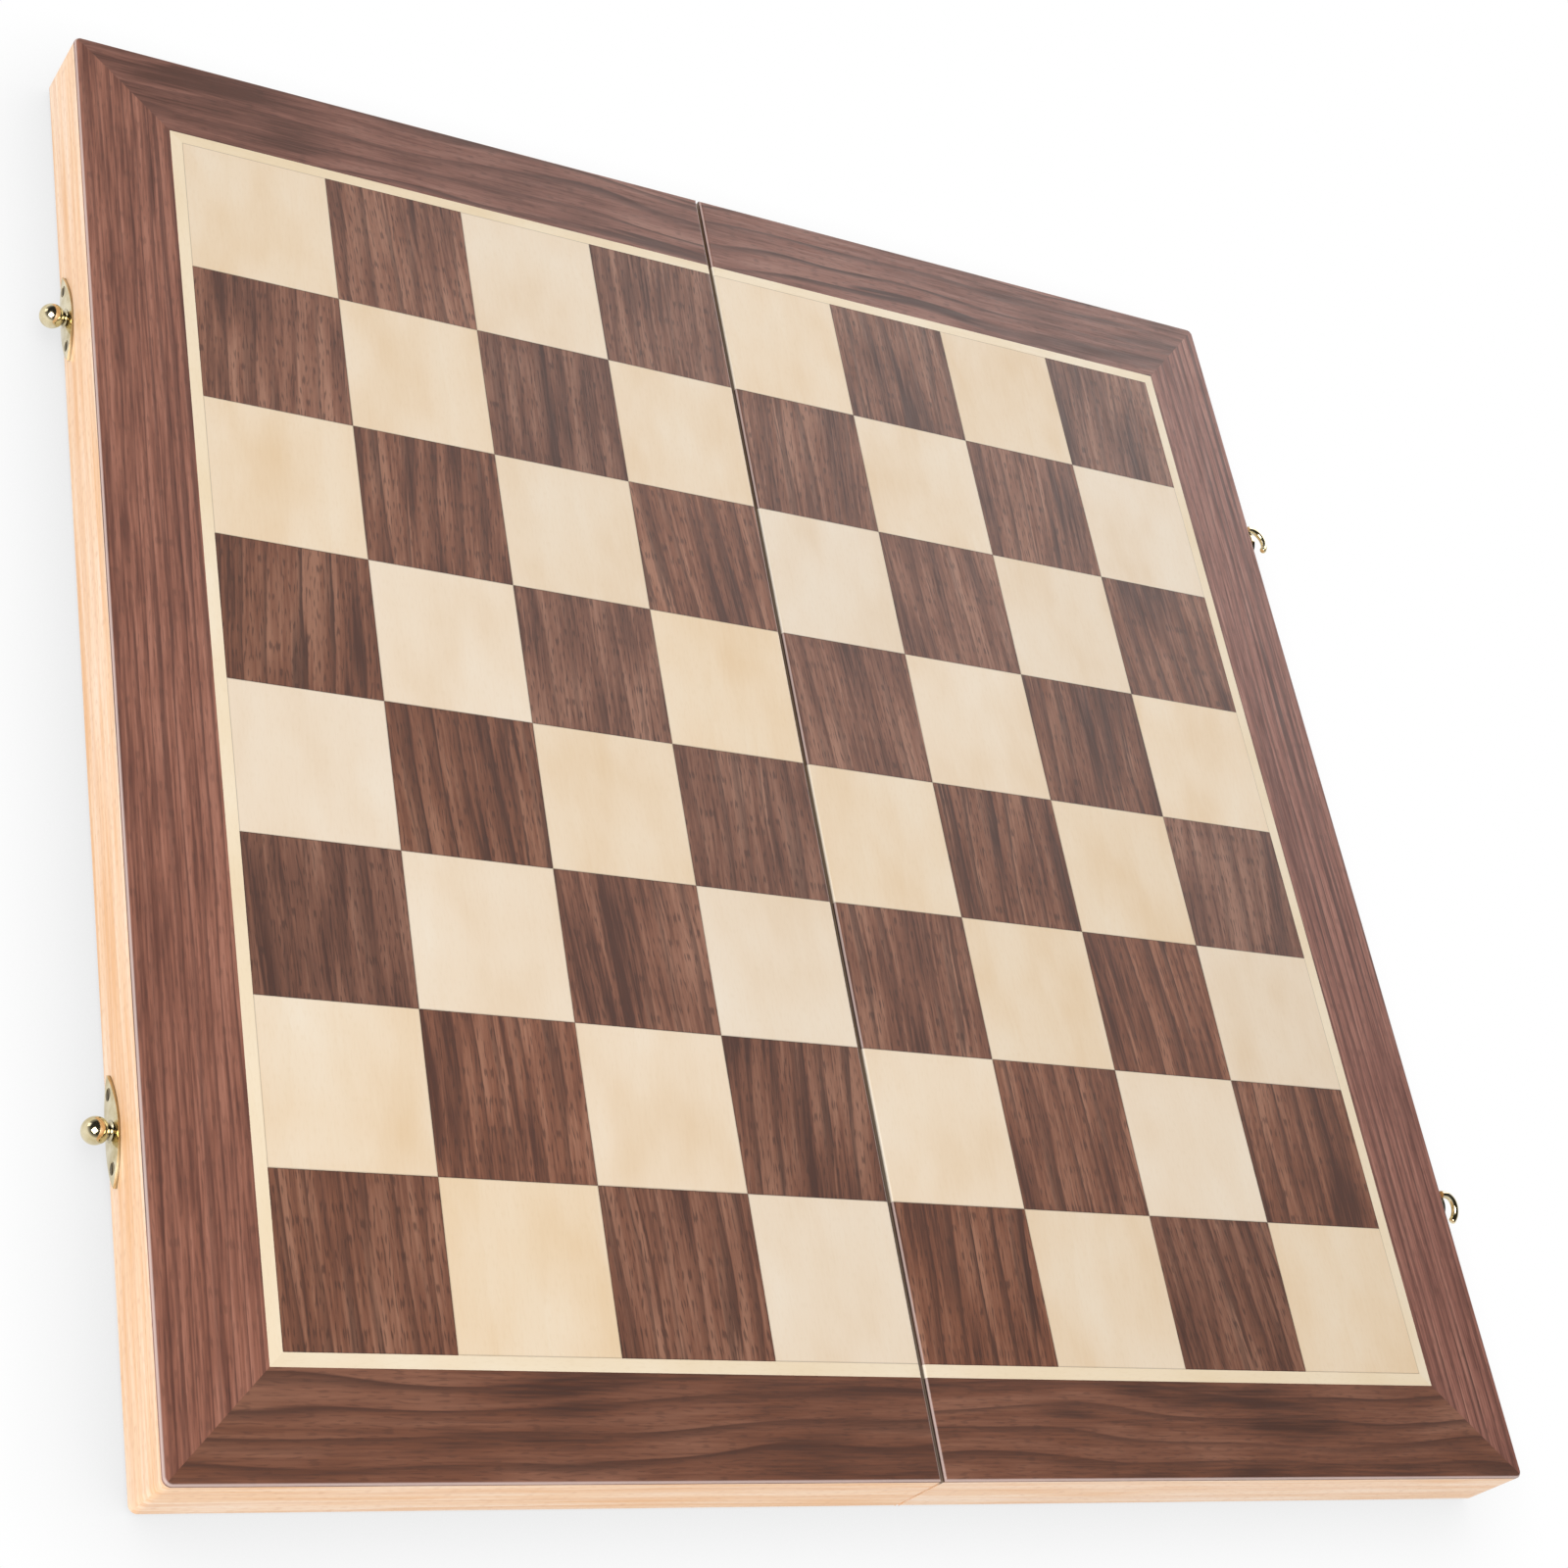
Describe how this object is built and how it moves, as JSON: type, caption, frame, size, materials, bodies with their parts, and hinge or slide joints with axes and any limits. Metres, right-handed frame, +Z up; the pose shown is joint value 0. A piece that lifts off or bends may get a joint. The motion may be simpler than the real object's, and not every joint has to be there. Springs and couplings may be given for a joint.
{
  "type": "folding chess board",
  "caption": "Folding chess board: shallow wooden trays hinged along a seam, an inlaid walnut and maple field on top, and brass swing hooks that catch ball knobs when it is shut.",
  "frame": {"origin": "on the table, under the middle of the seam between the halves", "axes": "+X across the seam from the half with the ball knobs to the half with the swing hooks, +Y along the seam towards the back, +Z up out of the playing field"},
  "size_m": [0.396, 0.3804, 0.0214],
  "materials": {
    "walnut_veneer": "satin lacquered walnut veneer",
    "maple_veneer": "satin lacquered maple veneer",
    "beech": "satin lacquered beech",
    "birch_plywood": "sanded plywood",
    "green_felt": "wool felt",
    "brass": "polished brass"
  },
  "bodies": {
    "left_half": {"back_ball_knob": "brass", "back_hinge_left_leaf": "brass", "back_hinge_pin": "brass", "back_knob_plate": "brass", "front_ball_knob": "brass", "front_hinge_left_leaf": "brass", "front_hinge_pin": "brass", "front_knob_plate": "brass", "knob_plate_screws": "brass", "left_back_border": "walnut_veneer", "left_back_rail": "beech", "left_back_stringing": "maple_veneer", "left_felt_lining": "green_felt", "left_front_border": "walnut_veneer", "left_front_rail": "beech", "left_front_stringing": "maple_veneer", "left_hinge_rail": "beech", "left_hinge_screws": "brass", "left_maple_squares": "maple_veneer", "left_outer_border": "walnut_veneer", "left_outer_rail": "beech", "left_outer_stringing": "maple_veneer", "left_panel": "birch_plywood", "left_walnut_squares": "walnut_veneer"},
    "right_half": {"back_hinge_right_leaf": "brass", "back_hook_plate": "brass", "back_hook_rivet": "brass", "front_hinge_right_leaf": "brass", "front_hook_plate": "brass", "front_hook_rivet": "brass", "hook_plate_screws": "brass", "right_back_border": "walnut_veneer", "right_back_rail": "beech", "right_back_stringing": "maple_veneer", "right_felt_lining": "green_felt", "right_front_border": "walnut_veneer", "right_front_rail": "beech", "right_front_stringing": "maple_veneer", "right_hinge_rail": "beech", "right_hinge_screws": "brass", "right_maple_squares": "maple_veneer", "right_outer_border": "walnut_veneer", "right_outer_rail": "beech", "right_outer_stringing": "maple_veneer", "right_panel": "birch_plywood", "right_walnut_squares": "walnut_veneer"},
    "front_swing_hook": {"front_hook": "brass"},
    "back_swing_hook": {"back_hook": "brass"}
  },
  "joints": [
    {"name": "fold", "type": "hinge", "parent": "left_half", "child": "right_half", "pos_m": [0, 0, 0.0012], "axis": [0, 1, 0], "range_deg": [0, 180]},
    {"name": "front_hook_swing", "type": "hinge", "parent": "right_half", "child": "front_swing_hook", "pos_m": [0.1918, -0.109, 0.00605], "axis": [1, 0, 0], "range_deg": [-20, 160]},
    {"name": "back_hook_swing", "type": "hinge", "parent": "right_half", "child": "back_swing_hook", "pos_m": [0.1918, 0.109, 0.00605], "axis": [1, 0, 0], "range_deg": [0, 180]}
  ]
}
